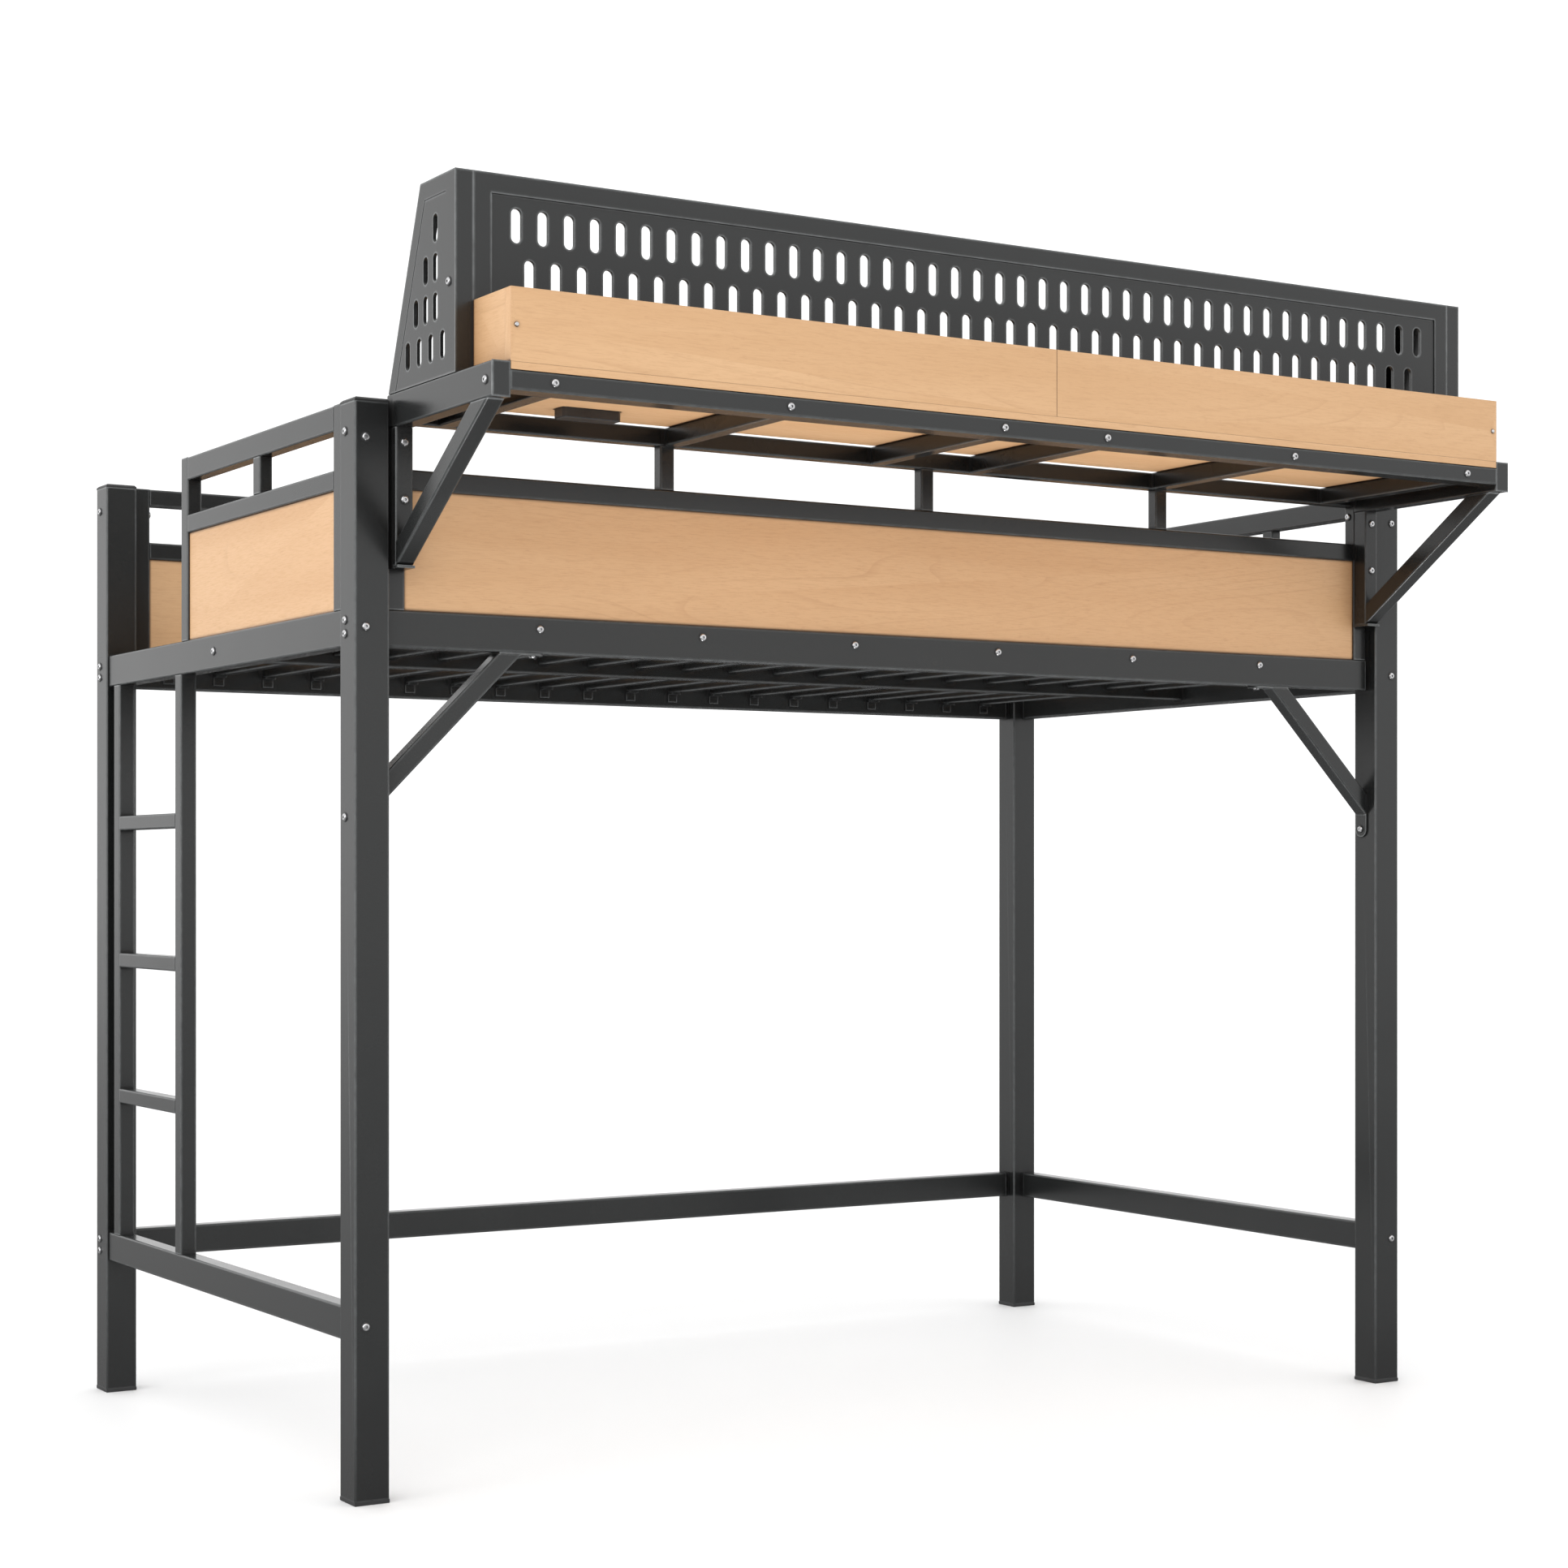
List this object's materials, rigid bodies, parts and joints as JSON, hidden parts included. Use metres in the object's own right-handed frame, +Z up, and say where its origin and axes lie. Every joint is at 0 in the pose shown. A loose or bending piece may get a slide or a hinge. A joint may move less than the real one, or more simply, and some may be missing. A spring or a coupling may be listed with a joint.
{
  "type": "loft bed with desk",
  "caption": "High single loft bed of square steel tube with wood guard panels, end ladder, open space under the deck and a cantilevered desk shelf with perforated back outside the front guard.",
  "frame": {"origin": "centre of the footprint box on the floor, halfway along the bed and halfway between the desk shelf's front and the back of the posts", "axes": "+X along the bed, from the ladder end to the other end; +Y from the desk shelf to the back; +Z up"},
  "size_m": [2.0446, 1.5006, 1.908],
  "materials": {
    "frame_paint": "fine textured charcoal powder coat",
    "wood": "light maple effect board, satin",
    "black_plastic": "matt",
    "power_plastic": "fine grain",
    "fastener": "bright",
    "plug_steel": "plain zinc"
  },
  "bodies": {
    "root": {"box_batten": "wood", "box_front_boards": "wood", "box_side_boards": "wood", "bracket_arms": "frame_paint", "bracket_caps": "frame_paint", "bracket_diagonals": "frame_paint", "bracket_uprights": "frame_paint", "deck_centre_beam": "frame_paint", "deck_rail_back": "frame_paint", "deck_rail_front": "frame_paint", "deck_rail_left": "frame_paint", "deck_rail_right": "frame_paint", "deck_slats_back": "frame_paint", "deck_slats_front": "frame_paint", "desktop": "wood", "frame_bolts": "fastener", "frame_nuts": "fastener", "frame_spacers": "black_plastic", "guard_back_balusters": "frame_paint", "guard_back_mid_rail": "frame_paint", "guard_back_panel": "wood", "guard_back_stiles": "frame_paint", "guard_back_top_rail": "frame_paint", "guard_front_balusters": "frame_paint", "guard_front_mid_rail": "frame_paint", "guard_front_panel": "wood", "guard_front_stiles": "frame_paint", "guard_left_baluster": "frame_paint", "guard_left_mid_rail": "frame_paint", "guard_left_panel": "wood", "guard_left_stiles": "frame_paint", "guard_left_top_rail": "frame_paint", "guard_right_balusters": "frame_paint", "guard_right_mid_rail": "frame_paint", "guard_right_panel": "wood", "guard_right_stiles": "frame_paint", "guard_right_top_rail": "frame_paint", "knee_brace_left": "frame_paint", "knee_brace_right": "frame_paint", "ladder_rungs": "frame_paint", "ladder_upright_back": "frame_paint", "ladder_upright_front": "frame_paint", "pegboard": "frame_paint", "pegboard_wings": "frame_paint", "post_back_left": "frame_paint", "post_back_right": "frame_paint", "post_caps": "black_plastic", "post_feet": "black_plastic", "post_front_left": "frame_paint", "post_front_right": "frame_paint", "power_faceplate": "power_plastic", "power_housing": "power_plastic", "shelf_cross_members": "frame_paint", "shelf_front_rail": "frame_paint", "shelf_rear_rail": "frame_paint", "stretcher_back": "frame_paint", "stretcher_left": "frame_paint", "stretcher_right": "frame_paint", "threaded_end_plugs": "plug_steel", "wood_screws": "fastener"}
  },
  "joints": []
}
